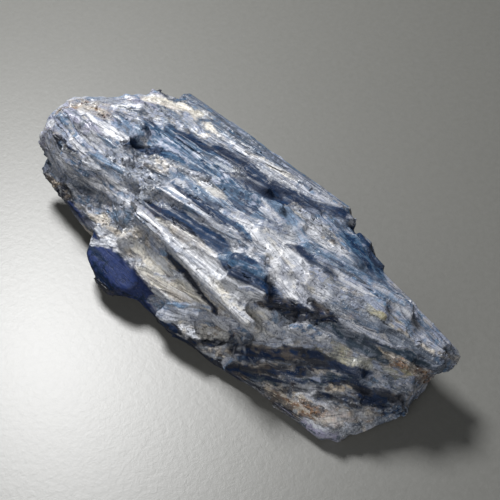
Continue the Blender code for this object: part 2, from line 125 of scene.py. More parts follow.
# The beds of the stone. Each runs from one point to another, and the number is about half its
# width. The ends were picked in the photograph, and most were carried onto the solid along its
# lines of sight.
BEDS = (
    # The lobe at the left end, with its white blade, its small pit and the ledge below it.
    ((-52, -4, 22), (-47, 3, 23), 2.0, "tan", "rubble"),
    ((-48, -1, 22.5), (-43, 1, 23), 1.2, "tan", "rubble"),
    ((-51, -6.5, 22), (-39, -8, 21), 2.6, "haze", "fibres"),
    ((-52, -3, 22), (-40, -5, 24), 2.2, "lilac", "fibres"),
    # The white of this blade is partly its own pale colour and partly a painted highlight of its sheen.
    ((-48, -2, 23), (-32, -2.4, 25), 1.1, "white", "blades"),
    ((-41, -5, 24), (-30, -3, 23.3), 1.4, "pale", "fibres"),
    ((-53, -9, 19), (-47, -11.6, 14), 2.0, "ash", "fibres"),
    # Painted shade: a dark bed in a recess.
    ((-47, -9.6, 19.4), (-41.6, -10.4, 21), 1.0, "dark", "hollow"),
    ((-43.4, -10.9, 20.6), (-40, -10.8, 20), 0.8, "grey", "rubble"),
    ((-40, 1.3, 23), (-33, -0.5, 24.8), 1.1, "haze", "smooth"),
    ((-37.4, 3.1, 22.3), (-30.8, 1.6, 23.7), 1.2, "steel", "smooth"),
    ((-30.3, -2.5, 24.6), (-27.3, 1.7, 22.2), 1.3, "navy", "hollow"),
    ((-28.5, -1.4, 22.5), (-24.4, 0.3, 22.7), 0.9, "ash", "rubble"),
    ((-43.1, -12.2, 18.2), (-29, -10.3, 19), 2.2, "pale", "fibres"),
    ((-40, -8.5, 21.4), (-27, -8.2, 21.3), 1.0, "haze", "smooth"),
    ((-37, -9.8, 20), (-26, -8.6, 20.5), 1.0, "pale", "fibres"),
    ((-36, -7.7, 21.8), (-25, -6.8, 22.9), 1.2, "mist", "fibres"),
    ((-42.7, -12.5, 11.6), (-25, -11.9, 16.5), 0.9, "slate", "blades"),
    ((-45.4, -13.7, 8), (-40.6, -13.7, 8.6), 1.5, "umber", "rubble"),
    ((-36, -13, 10.3), (-20, -12.6, 16), 2.2, "mist", "rubble"),
    ((-31.5, -12, 11.8), (-26, -12.9, 15), 0.7, "slate", "rubble"),
    ((-39.4, -14.7, 7.2), (-25.3, -17.9, 10), 1.0, "deep", "blades"),
    # The matrix and short blades behind the lobe.
    ((-28.4, -6, 23), (-16, -7.3, 21.7), 2.8, "ash", "rubble"),
    ((-28.3, -13.6, 10.6), (-15.6, -13.5, 15.3), 2.4, "beige", "rubble"),
    ((-46, 4.5, 23), (-36.4, 9.2, 21.5), 3.0, "ash", "fibres"),
    ((-39.4, 8.6, 22.5), (-33.6, 7.3, 21.8), 1.0, "navy", "blades"),
    ((-41.3, 3.9, 22.7), (-39, 4.6, 22.5), 0.7, "slate", "blades"),
    ((-42, 18.2, 19.6), (-37.4, 16.4, 21.5), 1.2, "umber", "rubble"),
    ((-37.6, 17.4, 20.9), (-38.2, 21, 18), 1.0, "slate", "rubble"),
    ((-35.5, 12.8, 21.3), (-28.5, 11.7, 21.7), 1.6, "ash", "rubble"),
    ((-33.4, 17, 19.3), (-25.3, 14.3, 21.5), 1.5, "beige", "fused"),
    ((-41, 14, 21), (-31, 20, 18.9), 1.8, "cream", "fibres"),
    # The far rim and the rows along it, with the long navy blade that steps down to them.
    ((-36.5, 22.5, 18.2), (13.3, 20.8, 19.9), 1.2, "slate", "blades"),
    ((-32.4, 20.3, 19), (-13, 18.4, 20.6), 1.6, "slate", "blades"),
    ((-24.8, 16.9, 20.7), (-19.6, 16, 20), 1.1, "cream", "fused"),
    ((-22, 16, 20.2), (12, 20.8, 20), 2.0, "pale", "fibres"),
    ((-13.3, 17.6, 20.2), (1.5, 19.6, 20.2), 1.4, "cream", "fibres"),
    ((-25.6, 10, 22.9), (-12.7, 14.3, 21), 2.3, "navy", "smooth"),
    ((-8.3, 14.2, 20.6), (4.5, 14.6, 20), 1.8, "navy", "smooth"),
    ((-6.5, 11.6, 22.6), (-0.8, 11.4, 22.8), 1.7, "navy", "smooth"),
    ((2.9, 14.4, 20), (14.8, 20.1, 19.3), 1.8, "navy", "smooth"),
    ((-7, 15.4, 21.2), (0.4, 15.7, 21), 0.5, "pale", "fibres"),
    ((-12.5, 11.2, 22.9), (-8.5, 10.8, 22.8), 1.0, "grey", "rubble"),
    ((-25.3, 7.8, 22.5), (-16.8, 8.1, 22.2), 0.9, "steel", "fibres"),
    ((-33, 6.6, 22.4), (-14.6, 5.8, 22.3), 1.8, "blue", "fibres"),
    ((-27.3, 9, 23), (-12, 10.2, 23), 1.3, "blue", "fibres"),
    ((-17.8, 9.4, 22.8), (-11, 10, 22.9), 1.0, "slate", "fibres"),
    ((-15.3, 7, 22), (7, 3, 24.9), 1.8, "blue", "fibres"),
    # The crown, its bundles, and the blue trough between them and the bright ridge.
    ((-11.9, 0.9, 24.7), (-5.5, 1, 25), 0.8, "cream", "fused"),
    ((-17.8, 0.3, 23.3), (6.7, -3, 24.8), 1.8, "steel", "fibres"),
    ((-9.3, -3, 24.3), (8.3, -3.4, 24.8), 1.5, "navy", "blades"),
    ((-7, 3.7, 25.6), (9, 3.3, 24.8), 1.8, "blue", "fibres"),
    ((-15.9, -6.8, 25), (5.7, -4.3, 24.4), 1.1, "pale", "fibres"),
    ((-12.4, -9.4, 22.7), (1.5, -6.1, 22.2), 2.0, "navy", "smooth"),
    # Painted shade: a dark bed in a recess.
    ((-14.4, -9.8, 22.7), (0.3, -9, 22.9), 0.7, "dark", "hollow"),
    ((-9.5, -11.4, 22), (2.8, -10.5, 22.6), 1.2, "cream", "fibres"),
    ((0.7, -5.2, 24.3), (14.9, -5.4, 25), 1.6, "pale", "fibres"),
    ((-23.8, -0.2, 22.9), (-11.3, 1.2, 24.9), 1.8, "grey", "rubble"),
    ((-26.4, 2, 22.2), (-21.5, 4, 22), 0.9, "blue", "blades"),
    ((-15, -12.2, 21.5), (4, -13.2, 21), 1.4, "mist", "blades"),
    # The white of the ridge is partly its own pale colour and partly a painted highlight of its sheen.
    ((-8.2, -11.6, 21.3), (18.4, -11.8, 21.4), 1.8, "white", "blades"),
    ((10.7, -13.3, 22.7), (18.9, -11.7, 22.3), 1.2, "white", "smooth"),
    ((-16.2, -12.7, 17.8), (-7.9, -13.8, 17.2), 1.1, "white", "blades"),
    ((-14, -13.6, 20.2), (-4.9, -14.3, 16.8), 0.5, "mist", "hollow"),
    ((1.5, -14.8, 20), (18.6, -16.2, 19), 1.4, "white", "fibres"),
    # Painted shade: a dark bed in a recess.
    ((-3.2, -14.4, 16.6), (10.5, -15.6, 14.2), 0.6, "dark", "hollow"),
    ((10.9, -15.2, 20.3), (22, -13.3, 16), 2.0, "cream", "fibres"),
    ((9.7, -9.4, 24.9), (14.6, -7.4, 24.9), 1.4, "blue", "smooth"),
    ((9.9, -10.8, 22.4), (17.9, -9, 23.4), 1.6, "navy", "blades"),
    ((8.2, -3.8, 24.4), (17.7, -2.4, 24.6), 1.8, "quartz", "fibres"),
    # The quartz of the middle and the smooth facets and knobs round it.
    ((7.5, 1.8, 25), (12.5, 4.8, 23.9), 2.0, "white", "fused"),
    ((11.2, -1, 24.6), (23.9, -4.2, 24.4), 2.8, "quartz", "fused"),
    ((23.6, -3.6, 24.5), (29.7, -1.9, 24), 1.8, "quartz", "fused"),
    ((7.8, 8.2, 24), (12.9, 6.8, 23.2), 1.9, "facet", "smooth"),
    ((-0.1, -1, 24.2), (7.3, 0, 24.8), 1.4, "steel", "smooth"),
    ((5.4, 5.5, 24.3), (8.3, 5, 24.8), 1.3, "mist", "fused"),
    ((7.5, 13.2, 20), (13, 14, 20), 1.2, "beige", "rubble"),
    ((11.4, 12.9, 20.3), (18.4, 11.9, 21.2), 1.4, "grey", "rubble"),
    ((13.3, 7.3, 23.4), (22.4, 9.4, 21), 1.3, "pale", "fibres"),
    ((19.8, 10.2, 21.9), (22.2, 9.8, 22), 0.9, "white", "rubble"),
    # The right half: two dark blocks, the steel-blue rim and the rows that end in a point.
    ((20.5, 15.1, 19.3), (30.2, 13.1, 18.7), 2.8, "blue", "smooth"),
    ((17.4, 19.8, 16.4), (28.4, 15.3, 18.6), 1.4, "navy", "blades"),
    ((14.8, 13.3, 20.8), (21.5, 12.3, 20.7), 1.3, "mist", "rubble"),
    ((15.8, 20.3, 19.2), (22.4, 19, 17.8), 1.1, "pale", "blades"),
    ((20.3, 5.1, 23.2), (38.2, 7.3, 21.7), 1.6, "steel", "smooth"),
    ((18.1, 2.9, 23.5), (25.1, 3.5, 23.9), 1.3, "navy", "smooth"),
    ((23.6, 3.8, 23.9), (34.5, 6.5, 22.3), 1.6, "haze", "blades"),
    ((33.2, 6.9, 23), (39, 7.9, 21.9), 1.3, "mist", "smooth"),
    ((33.3, 13.1, 18.4), (52.4, 11.9, 13.4), 1.7, "haze", "fibres"),
    ((36.3, 5.9, 22.6), (50.4, 8.7, 16.8), 1.6, "mist", "fibres"),
    ((36.9, 3.5, 21.9), (42.7, 4.8, 19.5), 1.4, "olive", "smooth"),
    ((25.7, 0, 24.9), (31.4, 2.3, 23.3), 1.3, "ash", "fused"),
    ((28.4, -1.3, 23.6), (34.8, 1.6, 22.8), 1.3, "ash", "rubble"),
    ((32.2, -2.5, 23.2), (51, 5.7, 16.3), 1.6, "ash", "blades"),
    ((35.5, -3, 21.7), (52.3, 4.9, 17), 0.8, "ash", "fibres"),
    ((30.5, -2.2, 23.7), (41, 0.7, 20.6), 1.1, "slate", "fibres"),
    ((33.7, -5.6, 19.5), (42, -2.1, 17.4), 1.8, "teal", "smooth"),
    ((41.7, -2, 18.5), (53.5, 4.8, 16.2), 1.5, "teal", "fibres"),
    ((48.2, 5.7, 17.2), (53.2, 11.5, 11.7), 1.4, "beige", "rubble"),
    # The hollow below the quartz, and the curved bundle and broken foot of the near end.
    # Painted shade: a dark bed in the hollow.
    ((19.2, -9.9, 18.7), (30.5, -5.2, 21.6), 1.9, "dark", "hollow"),
    ((14.5, -13, 18.3), (19.3, -10.7, 17.6), 1.2, "white", "rubble"),
    ((21.4, -9.3, 17.9), (24.7, -10.2, 15.4), 1.0, "haze", "smooth"),
    ((18.6, -11.4, 16.6), (24, -13.5, 19.6), 1.1, "cream", "smooth"),
    ((16.3, -13.5, 12), (33.5, -7.2, 19.6), 1.8, "pale", "rubble"),
    ((24.3, -12.7, 13.6), (33, -7.8, 15.9), 1.2, "ash", "rubble"),
    # Dark beds here are partly the near end's darker blades and partly painted shade on faces turned from
    # the lamp.
    ((20, -17, 9.5), (36.2, -8.2, 15), 1.9, "dark", "smooth"),
    ((21.6, -18.7, 6.2), (32, -12.4, 10.8), 1.5, "dark", "fibres"),
    ((23.9, -18, 4.2), (41.4, -7.8, 12.9), 1.2, "teal", "fibres"),
    ((34.7, -11.6, 10.6), (39.7, -8.8, 11.8), 0.7, "slate", "smooth"),
    ((32.7, -15.3, 7.7), (42.6, -9, 11.2), 1.2, "umber", "fibres"),
    ((36.8, -6.9, 16), (48, -0.4, 14.5), 1.6, "olive", "fibres"),
    ((37.9, -8, 14.8), (43, -5.4, 14.2), 1.2, "navy", "fibres"),
    ((47, -0.5, 16.8), (50.5, 5.8, 8.6), 1.6, "rust", "rubble"),
    ((44.4, -0.9, 18), (49.3, 1.1, 16.7), 1.0, "tan", "rubble"),
    # Partly darker blades and partly painted shade on a face turned from the lamp.
    ((41.7, -8.9, 11.5), (49.6, -3, 9), 1.8, "dark", "fibres"),
    ((48.8, -1.8, 11.5), (52, 0.3, 8.7), 1.2, "ash", "rubble"),
    # Painted shade: a dark bed in a recess.
    ((39, -13.2, 8.4), (48.6, -4.9, 8.8), 1.2, "dark", "hollow"),
    ((42.4, -14.1, 6.2), (47.3, -8.7, 7.1), 1.8, "rose", "smooth"),
    ((34, -16.7, 5.6), (39.4, -15.6, 6.8), 1.8, "rust", "rubble"),
    ((40, -17, 3.5), (44.2, -15.7, 3.2), 1.4, "lilac", "smooth"),
    # A thin white bed: a painted glint on the near end.
    ((34.7, -14.7, 7), (37.8, -13.1, 8.3), 0.35, "white", "smooth"),
    ((47.6, -7.7, 7.5), (52, -2.6, 6.3), 1.2, "streaked", "rubble"),
    # The shelf of the near side, with its deep blue blade, its rusty pocket and its dark foot.
    ((-19.8, -20.5, 9.1), (-7.9, -20.2, 5.2), 2.2, "deep", "smooth"),
    ((-19.7, -19.4, 9.3), (-10.7, -19.6, 9.2), 2.2, "deep", "smooth"),
    ((-21.3, -22.7, 8), (-12, -22.4, 4), 1.5, "deep", "smooth"),
    ((-19.7, -17.7, 10), (-15.7, -17.4, 10), 0.45, "white", "smooth"),
    ((-24.9, -18, 10), (-16.9, -15.2, 12.6), 1.3, "white", "rubble"),
    ((-16.6, -15, 13.7), (-6.7, -15.5, 13.3), 1.8, "cream", "fused"),
    ((-6.8, -17.6, 12), (5, -16.2, 13.7), 2.0, "cream", "fibres"),
    ((-7, -17.7, 11.8), (-0.8, -15.6, 14.8), 0.7, "white", "rubble"),
    ((0, -19.9, 8.5), (15, -15.2, 12.8), 1.8, "mist", "blades"),
    ((-5, -19.9, 6.2), (8.4, -16.5, 14.5), 0.7, "mist", "fibres"),
    ((7.7, -19.9, 8), (13, -15.3, 7.3), 1.2, "cream", "rubble"),
    ((11.9, -15.7, 7), (16, -15.6, 10), 0.7, "rust", "rubble"),
    # Painted shade: a dark bed in a recess.
    ((11.2, -18.9, 6.2), (14.8, -14.5, 7.8), 0.8, "dark", "hollow"),
    ((12, -19.8, 5), (17, -17.8, 6.5), 1.2, "grey", "rubble"),
    # Dark beds along the foot: partly dark blades, partly painted shade on the low side wall.
    ((-19.2, -23.9, 5.8), (2.2, -22, 5), 1.4, "dark", "blades"),
    ((2.2, -22, 5), (20.7, -18.7, 2.2), 1.4, "dark", "blades"),
    ((21.3, -18.6, 2.2), (34, -17.4, 4.3), 1.4, "umber", "fibres"),
    ((17.6, -19.3, 2.8), (19.9, -16, 10.5), 0.9, "mist", "fibres"),
    # The far side, the left end and the underside.
    ((-46, 14, 12), (-14, 22.5, 13), 5.0, "steel", "blades"),
    ((-30, 22, 6), (8, 22, 5), 4.0, "blue", "blades"),
    ((-24, 23, 11), (14, 21, 12), 3.0, "blue", "blades"),
    ((-46, 16, 5), (-20, 20, 3), 3.0, "beige", "fibres"),
    ((8, 20, 13), (34, 14, 12), 4.0, "haze", "fibres"),
    ((6, 20, 5), (36, 12, 5), 4.0, "grey", "blades"),
    ((30, 13, 8), (51, 11, 10), 4.0, "slate", "blades"),
    ((-54, -6, 15), (-44, 12, 16), 4.0, "lilac", "fibres"),
    ((-54, -2, 19), (-46, 12, 19), 2.5, "mist", "fibres"),
    ((-50, -5, 9), (-40, 10, 8), 4.0, "slate", "fibres"),
    ((-35, -8, 0), (40, -8, 0), 6.0, "grey", "fibres"),
    ((-35, 8, 0), (35, 4, 0), 7.0, "haze", "fibres"),
)

# How far pale split fibres and dust cover the beds that are cleaner than most.
DUST = {
    "navy": 0.14, "deep": 0.06, "teal": 0.2, "dark": 0.08, "facet": 0.3, "streaked": 0.5, "umber": 0.4,
    "slate": 0.45, "steel": 0.6, "blue": 0.35,
}

# How the beds lie. They go on into the stone along DIP, which is the line of sight that they were
# set from, so distance counts only DIP_SHARE along it, and BEYOND_SHARE past a bed's end. BORDER is
# how far a border is blurred, in half widths. Edges fray by these cells per mm and depths in mm.
DIP = np.array((0.455, -0.455, 0.766))
DIP_SHARE = 0.35
BEYOND_SHARE = 0.5
BORDER = 0.45
FRAY_CELLS = (0.22, 0.7, 0.7)
FRAY_DEPTHS = (2.6, 1.2, 1.2)
FRILL_CELLS = 1.9
FRILL_DEPTH = 0.3

SWATCH = 32


def linear(text):
    """A colour written #rrggbb, in the linear values that shading takes."""
    parts = np.array([int(text[at:at + 2], 16) for at in (1, 3, 5)]) / 255
    return np.where(parts <= 0.04045, parts / 12.92, ((parts + 0.055) / 1.055) ** 2.4)


def swatch(blend, warm):
    """Even samples of a blend's cold or warm colours, from dark to pale."""
    chosen = {hue: part for hue, part in blend.items() if (hue in WARM) == warm} or blend
    ramp = sorted(chosen, key=lambda hue: linear(HUES[hue]).sum())
    edges = np.cumsum([chosen[hue] for hue in ramp]) / sum(chosen.values())
    picks = np.searchsorted(edges, (np.arange(SWATCH) + 0.5) / SWATCH)
    return [linear(HUES[ramp[pick]]) for pick in picks]


def warm_share(blend):
    """How much of a blend is warm colours, from 0 to 1."""
    return sum(part for hue, part in blend.items() if hue in WARM) / sum(blend.values())


def unit(rows):
    """The rows as vectors 1 long."""
    return rows / np.maximum(np.linalg.norm(rows, axis=-1, keepdims=True), 1e-9)


def lot(cells, seed):
    """A random value, from 0 to 1, for each place in whole numbers."""
    word = (cells * (73856093, 19349663, 83492791)).sum(-1) + seed * 26544357
    for turn in range(2):
        word = ((word ^ (word >> 15)) * 739982445) & 0xFFFFFFFF
    return (word >> 8 & 0xFFFF) / 0xFFFF


def drift(places, seed):
    """Random values that change smoothly over one unit, mostly between 0 and 1."""
    cell = np.floor(places).astype(np.int64)
    part = places - cell
    part = part * part * (3 - 2 * part)
    total = np.zeros(len(places))
    for corner in np.ndindex(2, 2, 2):
        total += np.where(corner, part, 1 - part).prod(1) * lot(cell + corner, seed)
    return np.clip((total - 0.5) * 1.5 + 0.5, 0, 0.999)


def crystals(places, seed):
    """The crystal that each place is in, as the whole numbers that name it, the place's offset from
    the crystal's middle, and how far it is inside the crystal's border."""
    cell = np.floor(places).astype(np.int64)
    nearest = np.full(len(places), 9.0)
    second = nearest.copy()
    owner = cell.copy()
    offset = np.zeros(places.shape)
    for step in np.ndindex(3, 3, 3):
        other = cell + step - 1
        away = places - other - np.stack([lot(other, seed + axis) for axis in range(3)], 1)
        reach = (away ** 2).sum(1)
        closer = reach < nearest
        second = np.where(closer, nearest, np.minimum(second, reach))
        nearest = np.minimum(nearest, reach)
        owner[closer] = other[closer]
        offset[closer] = away[closer]
    return owner, offset, np.sqrt(second) - np.sqrt(nearest)


BED_STARTS, bed_ends, BED_WIDTHS, bed_blends, BED_HABITS = (np.array(column) for column in zip(*BEDS))
BED_RUNS = bed_ends - BED_STARTS
BED_HEADINGS = unit(BED_RUNS)
BED_SWATCHES = np.array([[swatch(BLENDS[name], warm) for warm in (False, True)] for name in bed_blends])
BED_WARMTH = np.array([warm_share(BLENDS[name]) for name in bed_blends])
BED_DUST = np.array([DUST.get(name, 1.0) for name in bed_blends])
BED_CRYSTALS, BED_STEPS, bed_leans, BED_SHARES = (
    np.array(column, float) for column in zip(*(HABITS[name] for name in BED_HABITS))
)
BED_LEANS = np.tan(np.radians(bed_leans))


def beds_at(places):
    """The bed that each place lies in, the next one to it, and how far that one shows through, up to
    a half. It is the nearest for its width, with frayed borders."""
    fray = [drift(places * FRAY_CELLS + 50 * axis, axis) - 0.5 for axis in range(3)]
    frill = [drift(places * FRILL_CELLS + 50 * axis, axis + 3) - 0.5 for axis in range(3)]
    fray = np.stack(fray, 1) * FRAY_DEPTHS + np.stack(frill, 1) * FRILL_DEPTH
    flatten = np.eye(3) - (1 - DIP_SHARE) * np.outer(DIP, DIP)
    flat = (places + fray) @ flatten
    nearest = np.full(len(places), np.inf)
    second = nearest.copy()
    found = np.zeros(len(places), int)
    other = found.copy()
    for number, width in enumerate(BED_WIDTHS):
        run = BED_RUNS[number] @ flatten
        length = np.linalg.norm(run)
        offset = flat - BED_STARTS[number] @ flatten
        along = offset @ run / length
        beyond = along - np.clip(along, 0, length)
        aside = (offset ** 2).sum(1) - along ** 2
        reach = np.sqrt(np.maximum(aside, 0) + (BEYOND_SHARE * beyond) ** 2) / width
        closer = reach < nearest
        between = ~closer & (reach < second)
        other[closer] = found[closer]
        second[closer] = nearest[closer]
        other[between] = number
        second[between] = reach[between]
        nearest[closer] = reach[closer]
        found[closer] = number
    return found, other, 0.5 * np.clip(1 - (second - nearest) / BORDER, 0, 1)


def added(name, data):
    """A new object of the scene that holds this mesh, lamp or camera."""
    made = bpy.data.objects.new(name, data)
    bpy.context.scene.collection.objects.link(made)
    return made


def only(piece):
    """Makes the piece the one thing that is selected."""
    bpy.ops.object.select_all(action="DESELECT")
    piece.select_set(True)
    bpy.context.view_layer.objects.active = piece


def places_of(mesh):
    """A mesh's corners and their normals, in mm."""
    corners = np.empty(len(mesh.vertices) * 3, np.float32)
    mesh.vertices.foreach_get("co", corners)
    outward = np.empty(len(mesh.vertices) * 3, np.float32)
    mesh.vertex_normals.foreach_get("vector", outward)
    return corners.reshape(-1, 3).astype(float) / MM, outward.reshape(-1, 3).astype(float)


def stain(mesh, name, kind, rows):
    """Writes one attribute of the mesh's corners: its colours, or its places along the blades."""
    field = {"FLOAT_COLOR": "color", "FLOAT_VECTOR": "vector"}[kind]
    mesh.attributes.new(name, kind, "POINT").data.foreach_set(field, rows.astype(np.float32).ravel())


class Wire:
    """A socket of a material's nodes: sums written with it become Math nodes."""

    def __init__(self, tree, socket=None):
        self.tree = tree
        self.socket = socket

    def node(self, kind, settings=None, sockets=None, out=0):
        """Adds a node, with its settings and the values or links of its sockets."""
        made = self.tree.nodes.new(kind)
        for name, value in (settings or {}).items():
            setattr(made, name, value)
        self.plug(made, sockets or {})
        return Wire(self.tree, made.outputs[out])

    def plug(self, node, sockets):
        """Gives a node's sockets their values or links."""
        for name, value in sockets.items():
            if isinstance(value, Wire):
                self.tree.links.new(value.socket, node.inputs[name])
            else:
                node.inputs[name].default_value = value

    def math(self, operation, first, second):
        """One Math node."""
        return self.node("ShaderNodeMath", {"operation": operation}, {0: first, 1: second})

    def __add__(self, other):
        return self.math("ADD", self, other)

    def __sub__(self, other):
        return self.math("SUBTRACT", self, other)

    def __rsub__(self, other):
        return self.math("SUBTRACT", other, self)

    def __mul__(self, other):
        return self.math("MULTIPLY", self, other)

    __radd__ = __add__
    __rmul__ = __mul__

    def between(self, low, high):
        """0 below low and 1 above high, with a smooth rise between them."""
        sockets = {"Value": self, "From Min": low, "From Max": high}
        return self.node("ShaderNodeMapRange", {"interpolation_type": "SMOOTHSTEP"}, sockets)

    def times(self, *factors):
        """A vector with each of its parts multiplied, by a factor of its own or by the same one."""
        factors = factors * 3 if len(factors) == 1 else factors
        return self.node("ShaderNodeVectorMath", {"operation": "MULTIPLY"}, {0: self, 1: factors})

    def noise(self, detail, rough, seed=0.0):
        """Cloudy noise at this place, one cell to a unit."""
        sockets = {
            "Vector": self, "W": seed, "Scale": 1.0,
            "Detail": detail, "Roughness": rough, "Distortion": 0.5,
        }
        return self.node("ShaderNodeTexNoise", {"noise_dimensions": "4D"}, sockets)

    def mixed(self, share, other, blend="MIX"):
        """This colour mixed with another by a share."""
        settings = {"data_type": "RGBA", "blend_type": blend}
        return self.node("ShaderNodeMix", settings, {0: share, 6: self, 7: other}, out=2)


PALE_FIBRE = (*linear("#c3c8d0"), 1)
# The white of the painted glints: specks that stand in for the lamp's highlight on tiny facets.
PAINTED_GLINT = (*linear("#e9ebee"), 1)
DEEP_FLAW = (*linear("#1d2433"), 1)
IRON = (*linear("#8a6238"), 1)
REFRACTION = 1.55
SHEEN_UNDER_SKIN = 0.06
SKIN_ROUGHNESS = 0.24
BUMP_DEPTH = 0.15


def kyanite(name, gloss, grit):
    """Kyanite's finish: its own tint, streaked along the blade, with pale split fibres, dark flaws,
    cracks across it, a little iron and painted glints, sparse white specks that stand in for the
    lamp's highlight on tiny facets. Its clear skin shines most where it is pale and split. gloss is how
    much, and grit how granular it is. The patterns made from along have so many cells per mm along,
    across and into the blade, and those made from place have them per m."""
    material = bpy.data.materials.new(name)
    material.use_nodes = True
    tree = material.node_tree
    start = Wire(tree)
    tint = start.node("ShaderNodeAttribute", {"attribute_name": "tint"})
    dust = start.node("ShaderNodeAttribute", {"attribute_name": "tint"}, out=3)
    along = start.node("ShaderNodeAttribute", {"attribute_name": "grain"}, out=1)
    place = start.node("ShaderNodeTexCoord", out=3)
    streak = along.times(0.12, 1.5, 1.5).noise(4.0, 0.62)
    hair = along.times(0.35, 5.0, 5.0).noise(2.0, 0.6, 3.0)
    crack = along.times(1.6, 0.35, 0.35).noise(2.0, 0.5, 7.0)
    cleavage = along.times(0.07, 1.1, 1.1).noise(1.0, 0.5, 13.0)
    grains = place.times(2300.0).noise(3.0, 0.7, 5.0)
    cloud = place.times(160.0).noise(2.0, 0.5, 9.0)
    mottle = place.times(750.0).noise(3.0, 0.6, 21.0)
    painted_glint_noise = place.times(3900.0).noise(1.0, 0.5, 17.0)
    split = streak.between(0.55, 0.66) * hair.between(0.4, 0.6)
    flaw = hair.between(0.42, 0.26)
    line = crack.between(0.46, 0.485) * crack.between(0.53, 0.505)
    seam = cleavage.between(0.46, 0.49) * cleavage.between(0.54, 0.51)
    light = 0.6 + 0.3 * streak + 0.2 * hair + 0.3 * mottle + (grains - 0.5) * grit
    brightness = start.node("ShaderNodeCombineXYZ", None, {0: light, 1: light, 2: light})
    # Painted highlight: sparse white specks where glints would catch the lamp.
    painted_glints = painted_glint_noise.between(0.655, 0.7) * cloud.between(0.35, 0.55)
    rusty = cloud.between(0.62, 0.74) * grains.between(0.45, 0.6)
    colour = tint.mixed(1.0, brightness, "MULTIPLY")
    for share, hue in (
        (split * dust * 0.45, PALE_FIBRE),
        # Pale specks, partly pale grains and partly painted glints.
        (grains.between(0.6, 0.68) * (0.01 + dust * 0.53), PALE_FIBRE),
        (painted_glints * (0.06 + 0.65 * dust), PAINTED_GLINT),
        (flaw * 0.3, DEEP_FLAW),
        (line * 0.3 + seam * 0.45, DEEP_FLAW),
        (rusty * (0.05 + 0.25 * dust), IRON),
    ):
        colour = colour.mixed(share, hue)
    height = streak * 0.35 + hair * 0.35 + grains * grit * 0.9 - line * 0.3 - seam * 0.5
    relief = {"Strength": 0.45, "Distance": BUMP_DEPTH * MM, "Height": height}
    start.plug(tree.nodes["Principled BSDF"], {
        "Base Color": colour,
        "Roughness": 0.2 + 0.2 * hair + 0.2 * dust + 0.15 * grains,
        "IOR": REFRACTION,
        "Specular IOR Level": SHEEN_UNDER_SKIN,
        "Coat Weight": gloss * (0.15 + 0.85 * dust),
        "Coat Roughness": SKIN_ROUGHNESS,
        "Normal": start.node("ShaderNodeBump", None, relief),
    })
    return material


ground = added("kyanite_mass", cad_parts["kyanite_cluster"].data.copy())
ground.data.materials.clear()
only(ground)
bpy.ops.object.mode_set(mode="EDIT")
bpy.ops.mesh.select_all(action="SELECT")
bpy.ops.mesh.remove_doubles(threshold=0.01 * MM)
bpy.ops.object.mode_set(mode="OBJECT")


def finished(kind, **settings):
    """Puts a modifier on the ground, with its settings, and applies it."""
    modifier = ground.modifiers.new(kind.lower(), kind)
    for name, value in settings.items():
        setattr(modifier, name, value)
    bpy.ops.object.modifier_apply(modifier=modifier.name)


def evened(turns, **settings):
    """Smooths the ground a number of times."""
    finished("SMOOTH", factor=0.5, iterations=turns, **settings)


VOXELS = {"mode": "VOXEL", "voxel_size": GROUND_GRAIN * MM}

# Swelling it and drawing it in again closes the thin slits between its blades.
for swell in (SLIT_FILLING, -SLIT_FILLING):
    finished("REMESH", **VOXELS)
    evened(4)
    finished("DISPLACE", strength=swell * MM, mid_level=0)
finished("REMESH", **VOXELS)

# The matrix that fills the wider gaps is the same, swollen and drawn in further, and a bit lower.
blades_only = ground.data.copy()
for swell in (GAP_FILLING, -GAP_FILLING - GAP_DEPTH):
    finished("DISPLACE", strength=swell * MM, mid_level=0)
    finished("REMESH", **VOXELS)
    evened(4)
matrix = ground
ground = added("kyanite_mass", blades_only)
only(ground)
matrix.select_set(True)
bpy.ops.object.join()
finished("REMESH", **VOXELS)
evened(3)

# Quartz and matrix have filled the gaps between the blades, so the mass is rounder there.
ground_beds, next_beds, through = beds_at(places_of(ground.data)[0])
rounding = ground.vertex_groups.new(name="rounding")
for habit, amount in (("fused", 1.0), ("rubble", 0.25), ("smooth", 0.25), ("fibres", 0.06)):
    filled = BED_HABITS[ground_beds] == habit
    rounding.add(np.flatnonzero(filled).tolist(), amount, "REPLACE")
evened(ROUNDING_TURNS, vertex_group=rounding.name)
ground.vertex_groups.clear()

surface, outward = places_of(ground.data)
bed_facing = np.zeros_like(BED_HEADINGS)
np.add.at(bed_facing, ground_beds, outward)
bed_facing = unit(bed_facing + (0, 0, 1e-6))
bed_sides = unit(np.cross(bed_facing, BED_HEADINGS))
bed_facing = np.cross(BED_HEADINGS, bed_sides)


def along_bed(places, beds):
    """Places measured along, across and into their bed."""
    axes = (BED_HEADINGS, bed_sides, bed_facing)
    return np.stack([(places * axis[beds]).sum(1) for axis in axes], 1)


# A crystal has split again into smaller ones. SPLITS says for both sizes how big they are beside
# the bed's own, how much they show, and the seed of their draws. TALLEST and LONGEST_TILTED are in
# mm, and the widths of the painted shade along a crystal's border and of a pale edge, which is
# partly a painted highlight, are in cells.
SPLITS = ((1.0, 0.75, 41), (0.42, 0.25, 51))
STEP_SPREAD = 1.45
TALLEST = 0.15
LONGEST_TILTED = 2.0
SHADED_BORDER = 0.08
FAR_EDGE = 0.2


